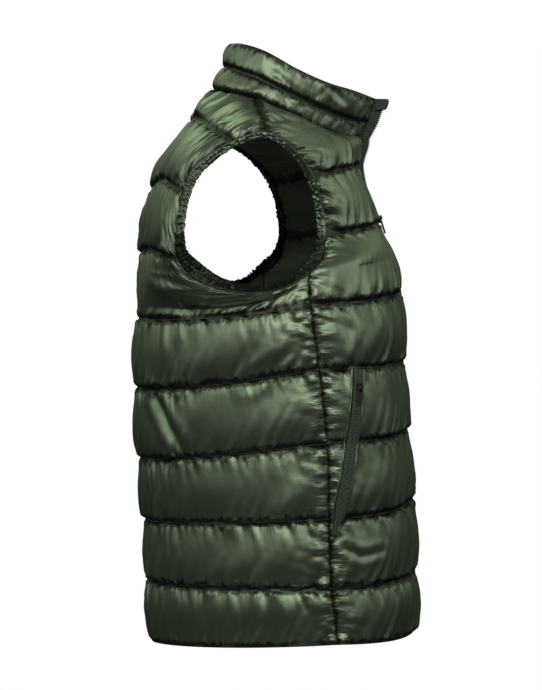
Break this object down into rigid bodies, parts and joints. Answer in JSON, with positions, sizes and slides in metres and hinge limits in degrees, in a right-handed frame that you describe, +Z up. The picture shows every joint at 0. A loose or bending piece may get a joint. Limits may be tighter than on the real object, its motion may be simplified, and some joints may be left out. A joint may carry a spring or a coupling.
{
  "type": "puffer vest",
  "caption": "Quilted sleeveless puffer vest with a stand collar, full front zip, gathered armhole bindings and zipped side pockets, filled out as when worn.",
  "frame": {"origin": "midway between the neck ends of the two shoulder seams, where the wearer's shoulders carry the vest", "axes": "+X towards the wearer's front, +Y towards the wearer's left, +Z up along the body"},
  "size_m": [0.3613, 0.4484, 0.745],
  "materials": {
    "quilted_nylon": "satin woven nylon over soft fill, dark olive green",
    "gathered_binding": "the same nylon gathered on elastic",
    "zip_tape": "woven zip tape with covered coil",
    "zip_metal": "dark enamelled zip slider",
    "zip_pull": "dark moulded pull tab"
  },
  "bodies": {
    "vest": {"back_panel": "quilted_nylon", "collar": "quilted_nylon", "front_right": "quilted_nylon", "armhole_binding_right": "gathered_binding", "front_zip_tape_right": "zip_tape", "pocket_zip_tape_right": "zip_tape", "pocket_zip_slider_right": "zip_metal", "front_left": "quilted_nylon", "armhole_binding_left": "gathered_binding", "front_zip_tape_left": "zip_tape", "pocket_zip_tape_left": "zip_tape", "pocket_zip_slider_left": "zip_metal", "front_zip_slider": "zip_metal", "zip_garage": "quilted_nylon"},
    "front_pull": {"front_zip_pull": "zip_pull"},
    "pocket_pull_right": {"pocket_zip_pull_right": "zip_pull"},
    "pocket_pull_left": {"pocket_zip_pull_left": "zip_pull"}
  },
  "joints": [
    {"name": "front_pull_swing", "type": "hinge", "parent": "vest", "child": "front_pull", "pos_m": [0.16802, 0, -0.14661], "axis": [0, -1, 0], "range_deg": [0, 150]},
    {"name": "pocket_pull_right_swing", "type": "hinge", "parent": "vest", "child": "pocket_pull_right", "pos_m": [0.10782, -0.22066, -0.35182], "axis": [-0.9079, -0.4079, 0.0972], "range_deg": [0, 150]},
    {"name": "pocket_pull_left_swing", "type": "hinge", "parent": "vest", "child": "pocket_pull_left", "pos_m": [0.10782, 0.22066, -0.35182], "axis": [0.9079, -0.4079, -0.0972], "range_deg": [0, 150]}
  ]
}
